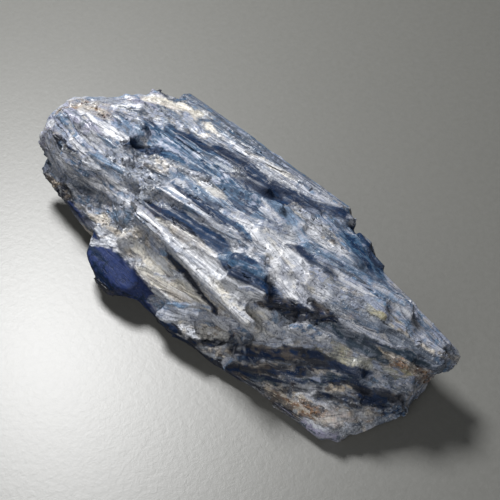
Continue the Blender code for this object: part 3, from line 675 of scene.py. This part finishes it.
def split(lie, beds):
    """How the crystals that hold these places stand and look: how far each place rises, in mm, its
    crystal's random value, its painted shade, which darkens the borders where crystals step against
    each other, and how pale its splintered far edge is, on one side, partly as a painted highlight.
    Each crystal stands out or in by its own step and leans its own way, and so do its smaller splits."""
    sway = np.stack([drift(lie * (0.12, 0.3, 0.3), seed) - 0.5 for seed in (31, 32)], 1)
    sizes = BED_CRYSTALS[beds]
    granular = BED_SHARES[beds, GRAINY]
    rise = -BED_STEPS[beds] * (0.6 + 0.55 * drift(lie * (0.3, 2.4, 2.4), 61))
    share = np.zeros(len(lie))
    shade = np.ones(len(lie))
    pale_edge_and_highlight = np.zeros(len(lie))
    for size, weight, seed in SPLITS:
        bent = lie.copy()
        bent[:, 1:] += sway * sizes[:, 1:] * 0.5
        owner, offset, inside = crystals(bent / (sizes * size), seed)
        leans = np.stack([lot(owner, seed + 7), lot(owner, seed + 8)], 1) * 2 - 1
        leans *= BED_LEANS[beds, None]
        rise += STEP_SPREAD * weight * BED_STEPS[beds] * (lot(owner, seed + 6) * 2 - 1)
        rise += STEP_SPREAD * weight * size * leans[:, 0] * offset[:, 1] * sizes[:, 1]
        rise += (
            STEP_SPREAD * weight * size * leans[:, 1] * offset[:, 0]
            * np.minimum(sizes[:, 0], LONGEST_TILTED) * granular
        )
        share += weight * lot(owner, seed + 5)
        # Painted shade: each border is darkened by as much as the crystals step there.
        shade *= 1 - 2 * weight * BED_STEPS[beds] * np.clip(1 - inside / SHADED_BORDER, 0, 1)
        # Painted highlight, in part: one side of each crystal's border goes pale, as if its split edge
        # caught the light.
        splintered = (offset[:, 1] > 0) * (lot(owner, seed + 9) > 0.4)
        pale_edge_and_highlight += weight * splintered * np.clip(1.3 - inside / FAR_EDGE, 0, 1)
    return np.minimum(rise, TALLEST), share, shade, pale_edge_and_highlight * drift(lie * (0.35, 1.5, 1.5), 66)


# Dusty places go towards HAZE and splintered edges towards a pale colour, which on their one side
# is partly a painted highlight, and the next bed shows through, as far as these say. CONTRAST is how
# far apart crystals and clouds are in their bed's swatch.
HAZE = linear("#8c939f")
PALE_EDGE_AND_HIGHLIGHT = linear(HUES["pale"])
CONTRAST = 2.8
STAIN_EDGE = 9
HAZE_MOST = 0.42
PALE_EDGE_AND_HIGHLIGHT_MOST = 0.5
VEIL_MOST = 0.6


def tinted(places, lie, found, other, through, share, shade, pale_edge_and_highlight):
    """The colour of each place, and how split and dusty its bed is there. Its crystals differ, its
    bed is cloudy, and the bed beside it shows through near its border. Its shade darkens it, which on
    the ground is painted shade along crystal borders, and its splintered edges go pale, partly as a
    painted highlight."""
    clouds = 0.4 * drift(lie * (0.1, 0.5, 0.5), 62) + 0.25 * drift(lie * (0.25, 1.3, 1.3), 63)
    clouds += 0.35 * drift(places * 1.3, 64)
    pick = np.clip((0.4 * share + 0.6 * clouds - 0.5) * CONTRAST + 0.5, 0, 0.999) * (SWATCH - 1)
    low = pick.astype(int)
    part = (pick - low)[:, None]
    clean = 0.5 - drift(lie * (0.13, 0.55, 0.55), 71) * 0.7 - drift(places * 1.1, 72) * 0.3
    stained = 1 / (1 + np.exp(clean * STAIN_EDGE))
    veil = np.clip(through * (0.4 + 1.2 * drift(places * 1.6, 65)), 0, VEIL_MOST)[:, None]
    tints = np.zeros((len(places), 3))
    dust = np.zeros((len(places), 1))
    for beds, amount in ((found, 1 - veil), (other, veil)):
        warmth = np.clip((1.12 * BED_WARMTH[beds] - 0.06 - stained) / 0.12 + 0.5, 0, 1)[:, None]
        for warm, weight in ((0, 1 - warmth), (1, warmth)):
            ramp = BED_SWATCHES[beds, warm]
            rows = np.arange(len(places))
            tints += amount * weight * (ramp[rows, low] * (1 - part) + ramp[rows, low + 1] * part)
        dust += amount * BED_DUST[beds, None]
    pale_edge_and_highlight = PALE_EDGE_AND_HIGHLIGHT_MOST * pale_edge_and_highlight[:, None] * dust
    haze = drift(lie * (0.09, 0.3, 0.3) + 30, 81) * 0.6 + drift(places * 0.8, 82) * 0.4
    haze = HAZE_MOST * np.clip((haze - 0.42) / 0.3, 0, 1)[:, None] * dust
    tints = tints * shade[:, None] * (1 - haze) + HAZE * haze
    return np.hstack((tints * (1 - pale_edge_and_highlight) + PALE_EDGE_AND_HIGHLIGHT * pale_edge_and_highlight, dust))


lie = along_bed(surface, ground_beds)
rise, *looks = split(lie, ground_beds)
tints = tinted(surface, lie, ground_beds, next_beds, through, *looks)
stain(ground.data, "tint", "FLOAT_COLOR", tints)
stain(ground.data, "grain", "FLOAT_VECTOR", lie)
surface += outward * rise[:, None]
surface[:, 2] = np.maximum(surface[:, 2], 0)
ground.data.vertices.foreach_set("co", (surface * MM).astype(np.float32).ravel())
ground.data.update()
ground.data.materials.append(kyanite("kyanite ground", 0.32, 0.8))

OPEN_EDGES = {"use_multi_face": False, "use_non_contiguous": False, "use_verts": False}
for number, (start, end) in enumerate(itertools.pairwise(LENGTH_ENDS), 1):
    stretch = added(f"kyanite_mass_{number}", ground.data.copy())
    only(stretch)
    bpy.ops.object.mode_set(mode="EDIT")
    for cut, out in ((start, -1), (end, 1)):
        bpy.ops.mesh.select_all(action="SELECT")
        bpy.ops.mesh.bisect(plane_co=(cut * MM, 0, 0), plane_no=(out, 0, 0), clear_outer=True)
        bpy.ops.mesh.select_all(action="DESELECT")
        bpy.ops.mesh.select_mode(type="EDGE")
        bpy.ops.mesh.select_non_manifold(**OPEN_EDGES)
        if bpy.context.object.data.count_selected_items()[1]:
            bpy.ops.mesh.fill_holes(sides=0)
    bpy.ops.object.mode_set(mode="OBJECT")
    bpy.ops.object.shade_smooth_by_angle(angle=math.radians(GROUND_CREASE))
    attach(stretch, "root")
    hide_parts("kyanite_cluster")
    print(stretch.name, len(stretch.data.polygons), "faces")

# The loose edges of the blades: flat splinters of kyanite that follow their bundle, some broad and
# clean, some split as fine as needles. They are the stone's own crystals, part buried in it. Each
# kind has a few shapes, copied a hundred times or more, and all those of a kind are one mesh.
rng = np.random.default_rng(108)
STEP_SLOPE = 0.06
STEP_DROP = 0.28
UNDERCUT = 0.25


def splinter(slants, step, taper):
    """A blade 1 long, 1 wide and 1 thick, top at 0. Each end is broken off along slanted planes, one
    side of its top is a cleavage step lower, and its far end is narrower."""
    bpy.ops.object.select_all(action="DESELECT")
    bpy.ops.mesh.primitive_cube_add(size=1, location=(0.5, 0, -0.5))
    blade = bpy.context.object
    bpy.ops.object.transform_apply(location=True)
    bpy.ops.object.mode_set(mode="EDIT")
    for point, facing in slants:
        bpy.ops.mesh.select_all(action="SELECT")
        bpy.ops.mesh.bisect(plane_co=point, plane_no=facing, use_fill=True, clear_outer=True)
    for edge in (step, step + STEP_SLOPE):
        bpy.ops.mesh.select_all(action="SELECT")
        bpy.ops.mesh.bisect(plane_co=(0, edge, 0), plane_no=(0, 1, 0))
    body = bmesh.from_edit_mesh(blade.data)
    for corner in body.verts:
        lowered = corner.co.y > step + STEP_SLOPE / 2 and corner.co.z > -0.3
        corner.co.z -= STEP_DROP * lowered
        corner.co.y *= 1 - taper * corner.co.x
        corner.co.y *= 1 + UNDERCUT * corner.co.z
    bmesh.update_edit_mesh(blade.data)
    bpy.ops.mesh.select_all(action="SELECT")
    bpy.ops.mesh.quads_convert_to_tris()
    bpy.ops.mesh.normals_make_consistent(inside=False)
    bpy.ops.object.mode_set(mode="OBJECT")
    return blade


def slants_of(corners):
    """The planes that break off a blade's ends and some of its corners."""
    slants = []
    for end in (0, 1):
        out = 2 * end - 1
        facing = (out, rng.uniform(-0.09, 0.09), rng.uniform(0, 0.06))
        slants.append(((end - 0.05 * out, 0, 0), facing))
    for number in range(corners):
        end = number % 2
        out = 2 * end - 1
        side = rng.choice((-1, 1))
        facing = (out * rng.uniform(1.5, 3.5), side * rng.uniform(0.4, 1), rng.uniform(0, 0.5))
        slants.append(((end - 0.12 * out, 0.32 * side, 0), facing))
    return slants


def pattern_of(piece):
    """A shaped piece's corners and triangles. The piece itself is then taken away."""
    corners = np.array([corner.co for corner in piece.data.vertices])
    faces = np.array([face.vertices for face in piece.data.polygons])
    bpy.data.objects.remove(piece)
    return corners, faces


ground_sides = [tuple(face.vertices) for face in ground.data.polygons]
ground_tree = BVHTree.FromPolygons(surface.tolist(), ground_sides)
ground.data.calc_loop_triangles()
ground_faces = np.empty(len(ground.data.loop_triangles) * 3, np.int32)
ground.data.loop_triangles.foreach_get("vertices", ground_faces)
ground_faces = ground_faces.reshape(-1, 3)
ground_corners = surface[ground_faces]
face_edges = ground_corners[:, 1:] - ground_corners[:, :1]
face_cross = np.cross(face_edges[:, 0], face_edges[:, 1])
face_areas = np.linalg.norm(face_cross, axis=1) / 2
face_facing = unit(unit(face_cross) + outward[ground_faces].sum(1) / 3)
LOWEST_SPOT = 0.5
STEEPEST_UNDER = -0.55
FLOOR_GAP = 0.02


def scatter(per_mm2, column):
    """Places on the ground, their normals and their beds, as dense as each bed's habit has them."""
    count = int(per_mm2 * face_areas.sum())
    faces = rng.choice(len(face_areas), count, p=face_areas / face_areas.sum())
    shares = rng.random((count, 2))
    shares = np.where(shares.sum(1, keepdims=True) > 1, 1 - shares, shares)
    edges = face_edges[faces]
    spots = ground_corners[faces, 0] + shares[:, :1] * edges[:, 0]
    spots += shares[:, 1:] * edges[:, 1]
    facing = face_facing[faces]
    beds = beds_at(spots)[0]
    kept = rng.random(count) < BED_SHARES[beds, column]
    kept &= (facing[:, 2] > STEEPEST_UNDER) & (spots[:, 2] > LOWEST_SPOT)
    return spots[kept], facing[kept], beds[kept]


def across(rows, other):
    """Unit rows made square to the other unit rows."""
    return unit(rows - other * (rows * other).sum(1, keepdims=True))


def height_over(place):
    """How far a place is over the ground nearest to it, in mm, or below 0 inside it."""
    near, facing, _, _ = ground_tree.find_nearest(place)
    return (place - near).dot(facing)


def laid(name, patterns, origins, axes, sizes, shades):
    """One mesh of many copies: each pattern's copies, at their places, along their axes. A copy has
    the colours of the ground that it lies on, with its own shade."""
    all_corners, all_faces, all_shades, all_grain = [], [], [], []
    kinds = rng.integers(len(patterns), size=len(origins))
    offset = 0
    for kind, (corners, faces) in enumerate(patterns):
        chosen = kinds == kind
        count = int(chosen.sum())
        sized = corners[None] * sizes[chosen][:, None]
        made = origins[chosen][:, None] + np.einsum("nij,nki->nkj", axes[chosen], sized)
        all_corners.append(made.reshape(-1, 3))
        starts = offset + len(corners) * np.arange(count)
        all_faces.append((faces[None] + starts[:, None, None]).reshape(-1, 3))
        all_shades.append(np.repeat(shades[chosen], len(corners)))
        stray = rng.uniform(0, 400, (count, 1, 3))
        all_grain.append((sized + stray).reshape(-1, 3))
        offset += count * len(corners)
    corners, faces = np.concatenate(all_corners), np.concatenate(all_faces)
    corners[:, 2] = np.maximum(corners[:, 2], FLOOR_GAP)
    mesh = bpy.data.meshes.new(name)
    mesh.vertices.add(len(corners))
    mesh.vertices.foreach_set("co", (corners * MM).astype(np.float32).ravel())
    mesh.loops.add(len(faces) * 3)
    mesh.loops.foreach_set("vertex_index", faces.astype(np.int32).ravel())
    mesh.polygons.add(len(faces))
    mesh.polygons.foreach_set("loop_start", 3 * np.arange(len(faces), dtype=np.int32))
    mesh.update(calc_edges=True)
    mesh.shade_flat()
    found, other, through = beds_at(corners)
    lie = along_bed(corners, found)
    share = split(lie, found)[1]
    looks = (share, np.concatenate(all_shades), np.zeros(len(share)))
    stain(mesh, "tint", "FLOAT_COLOR", tinted(corners, lie, found, other, through, *looks))
    stain(mesh, "grain", "FLOAT_VECTOR", np.concatenate(all_grain))
    piece = added(name, mesh)
    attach(piece, "root")
    print(name, len(origins), "copies", len(faces), "triangles")
    return piece


# A blade is tried a few times, each time shorter, until its far end lies close enough to the
# ground for its length and its middle isn't too far over it. It is left out where it turns off its
# bed or where an edge of it stands free of the ground. END_OFF_SHARE is a share of its length,
# MIDDLE_OFF and EDGE_OFF are in mm, and ALONG_BED and END_ON are cosines.
TRIES = 6
SHORTENING = 0.7
END_OFF_SHARE = 0.1
MIDDLE_OFF = 0.06
EDGE_OFF = 0.25
ALONG_BED = 0.93
END_ON = 0.7
LONGEST_END_ON = 3.0


def lay_blades(name, patterns, per_mm2, column, length, width, thickness, lift, stray):
    """Blades of one kind, over all the ground. length, width, thickness and lift are ranges in mm,
    and stray is how far they turn off their bundle, in degrees."""
    spots, facing, beds = scatter(per_mm2, column)
    count = len(spots)
    lengths = length[0] + (length[1] - length[0]) * rng.random(count) ** 1.7
    swing = (drift(spots * (0.12, 0.3, 0.3), 21) - 0.5) * 0.35
    swing += rng.normal(0, math.radians(stray), count)
    lean = (drift(spots * (0.1, 0.45, 0.45), 22) - 0.5) * 0.6
    lean += rng.normal(0, math.radians(stray), count)
    runs = unit(BED_HEADINGS[beds] + bed_sides[beds] * swing[:, None])
    runs *= rng.choice((-1, 1), (count, 1))
    end_on = np.abs((runs * facing).sum(1)) > END_ON
    fits = end_on.copy()
    for number in range(count):
        if end_on[number]:
            continue
        spot = Vector(spots[number])
        run = Vector(across(runs[number:number + 1], facing[number:number + 1])[0])
        for attempt in range(TRIES):
            near, _, _, away = ground_tree.find_nearest(spot + run * lengths[number])
            middle = (spot + near) / 2
            if away < END_OFF_SHARE * lengths[number] and height_over(middle) < MIDDLE_OFF:
                fits[number] = True
                break
            lengths[number] *= SHORTENING
        target = near - spot
        lengths[number] = max(target.length, length[0] * 0.4)
        runs[number] = target.normalized()
    like_bed = (facing * bed_facing[beds]).sum(1, keepdims=True) > 0.5
    tops = across(unit(facing + bed_facing[beds] * like_bed), runs)
    sides = np.cross(tops, runs)
    tops = unit(tops + sides * np.tan(lean)[:, None])
    sides = np.cross(tops, runs)
    stubs = end_on[:, None] * unit(runs * np.sign((runs * facing).sum(1, keepdims=True)))
    lengths = np.where(end_on, np.minimum(lengths, LONGEST_END_ON), lengths)
    runs = np.where(end_on[:, None], stubs, runs)
    sides = np.where(end_on[:, None], np.cross(tops, runs), sides)
    fits &= end_on | (np.abs((runs * BED_HEADINGS[beds]).sum(1)) > ALONG_BED)
    lifts = rng.uniform(*lift, count)
    origins = spots + tops * lifts[:, None]
    origins -= runs * (end_on * (lengths - 0.5 * rng.random(count)))[:, None]
    sizes = np.stack((lengths, rng.uniform(*width, count), rng.uniform(*thickness, count)), 1)
    for number, side in itertools.product(np.flatnonzero(fits), (-0.5, 0.5)):
        edge = origins[number] + runs[number] * lengths[number] / 2
        edge += sides[number] * side * sizes[number, 1]
        fits[number] &= height_over(Vector(edge)) < EDGE_OFF
    axes = np.stack((runs, sides, tops), 1)
    shades = rng.uniform(0.75, 1.08, fits.sum())
    return laid(name, patterns, origins[fits], axes[fits], sizes[fits], shades)


broad = [pattern_of(splinter(slants_of(3), 0.1 * kind - 0.1, 0.1 * kind)) for kind in range(5)]
narrow = [pattern_of(splinter(slants_of(1), 0.15 * kind - 0.2, 0.15 * kind)) for kind in range(4)]
blade_finish = kyanite("kyanite blades", 0.5, 0.45)
for name, patterns, per_mm2, column, length, width, thickness, lift, stray in (
    ("broad_blades", broad, 0.06, BROAD, (5, 16), (1.0, 2.6), (0.7, 1.1), (-0.15, 0.04), 3),
    ("narrow_blades", narrow, 0.09, NARROW, (4, 13), (0.4, 1.1), (0.5, 0.8), (-0.15, 0.05), 4),
    ("fine_fibres", narrow, 0.16, FINE, (1.5, 7), (0.2, 0.45), (0.3, 0.5), (-0.12, 0.08), 6),
):
    blades = lay_blades(name, patterns, per_mm2, column, length, width, thickness, lift, stray)
    blades.data.materials.append(blade_finish)
bpy.data.objects.remove(ground)

# The grains between the bundles: angular quartz, broken kyanite and stained mica, grown into the
# gaps of the stone. They lie in the ground at every angle.
GRAINS_PER_MM2 = 0.35
GRAIN_CUTS = 4
GRAIN_SUNK = 0.12


def grain():
    """An angular grain about 1 across: a block that is broken along random planes."""
    bpy.ops.object.select_all(action="DESELECT")
    bpy.ops.mesh.primitive_cube_add(size=1, location=(0, 0, 0))
    block = bpy.context.object
    bpy.ops.object.mode_set(mode="EDIT")
    for facing in unit(rng.normal(size=(GRAIN_CUTS, 3))):
        point = facing * rng.uniform(0.3, 0.45)
        bpy.ops.mesh.select_all(action="SELECT")
        bpy.ops.mesh.bisect(plane_co=point, plane_no=facing, use_fill=True, clear_outer=True)
    bpy.ops.mesh.select_all(action="SELECT")
    bpy.ops.mesh.quads_convert_to_tris()
    bpy.ops.mesh.normals_make_consistent(inside=False)
    bpy.ops.object.mode_set(mode="OBJECT")
    return block


grains = [pattern_of(grain()) for kind in range(5)]
spots, facing, beds = scatter(GRAINS_PER_MM2, GRAINY)
count = len(spots)
runs = unit(rng.normal(size=(count, 3)))
tops = across(unit(rng.normal(size=(count, 3))), runs)
sizes = (0.3 + 0.6 * rng.random((count, 1)) ** 2) * rng.uniform(0.7, 1.3, (count, 3))
axes = np.stack((runs, np.cross(tops, runs), tops), 1)
shades = rng.uniform(0.7, 1.3, count)
rubble = laid("rubble", grains, spots - facing * GRAIN_SUNK, axes, sizes, shades)
rubble.data.materials.append(kyanite("broken grains", 0.4, 0.6))

# The place it is looked at in: a sheet of pale card, a soft lamp over its far left side, a weaker
# one near the camera, and the camera above its near side.
bpy.ops.object.select_all(action="DESELECT")
bpy.ops.mesh.primitive_plane_add(size=3, location=(0, 0, 0))
card = bpy.context.object
card.name = "card"
card_finish = bpy.data.materials.new("matt card")
card_finish.use_nodes = True
card_start = Wire(card_finish.node_tree)
fleck = card_start.node("ShaderNodeTexCoord", out=3).times(700.0).noise(4.0, 0.7)
grey = 0.115 + 0.04 * fleck
tone = {0: grey, 1: grey, 2: 0.105 + 0.04 * fleck}
tooth = {"Strength": 0.2, "Distance": 0.2 * MM, "Height": fleck}
card_start.plug(card_finish.node_tree.nodes["Principled BSDF"], {
    "Base Color": card_start.node("ShaderNodeCombineXYZ", None, tone),
    "Roughness": 0.42,
    "Specular IOR Level": 0.7,
    "Normal": card_start.node("ShaderNodeBump", None, tooth),
})
card.data.materials.append(card_finish)
card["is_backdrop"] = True


def aimed(name, data, place, target):
    """Adds a lamp or a camera that looks from its place at a target, in mm."""
    made = added(name, data)
    made.location = Vector(place) * MM
    made.rotation_mode = "QUATERNION"
    made.rotation_quaternion = (Vector(target) - Vector(place)).to_track_quat("-Z", "Y")
    return made


for name, size, watts, place, target in (
    ("soft lamp", 100, 1.74, (-185, 50, 280), (0, 0, 10)),
    ("fill lamp", 220, 0.32, (125, -175, 140), (10, 0, 10)),
):
    lamp = bpy.data.lights.new(name, "AREA")
    lamp.shape = "DISK"
    lamp.size = size * MM
    lamp.energy = watts
    aimed(name, lamp, place, target)

surround = bpy.data.worlds.new("surround")
surround.use_nodes = True
sky = {"Color": (0.85, 0.92, 1.0, 1), "Strength": 0.04}
Wire(surround.node_tree).plug(surround.node_tree.nodes["Background"], sky)
bpy.context.scene.world = surround

TARGET = Vector((5, 0.5, 12))
DISTANCE = 260
AZIMUTH = math.radians(45)
ELEVATION = math.radians(50)
FRAME_WIDTH = 109
SENSOR = 36
back = Vector((
    math.sin(AZIMUTH) * math.cos(ELEVATION),
    -math.cos(AZIMUTH) * math.cos(ELEVATION),
    math.sin(ELEVATION),
))
camera = bpy.data.cameras.new("camera")
camera.sensor_width = SENSOR
camera.lens = SENSOR * DISTANCE / FRAME_WIDTH
camera.shift_y = 0.02
camera.clip_start = 0.01
bpy.context.scene.camera = aimed("camera", camera, TARGET + back * DISTANCE, TARGET)
bpy.context.scene.view_settings.view_transform = "Standard"

sizes = {"cad": [list(corner) for corner in cad_box], "visual": [list(corner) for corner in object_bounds()]}
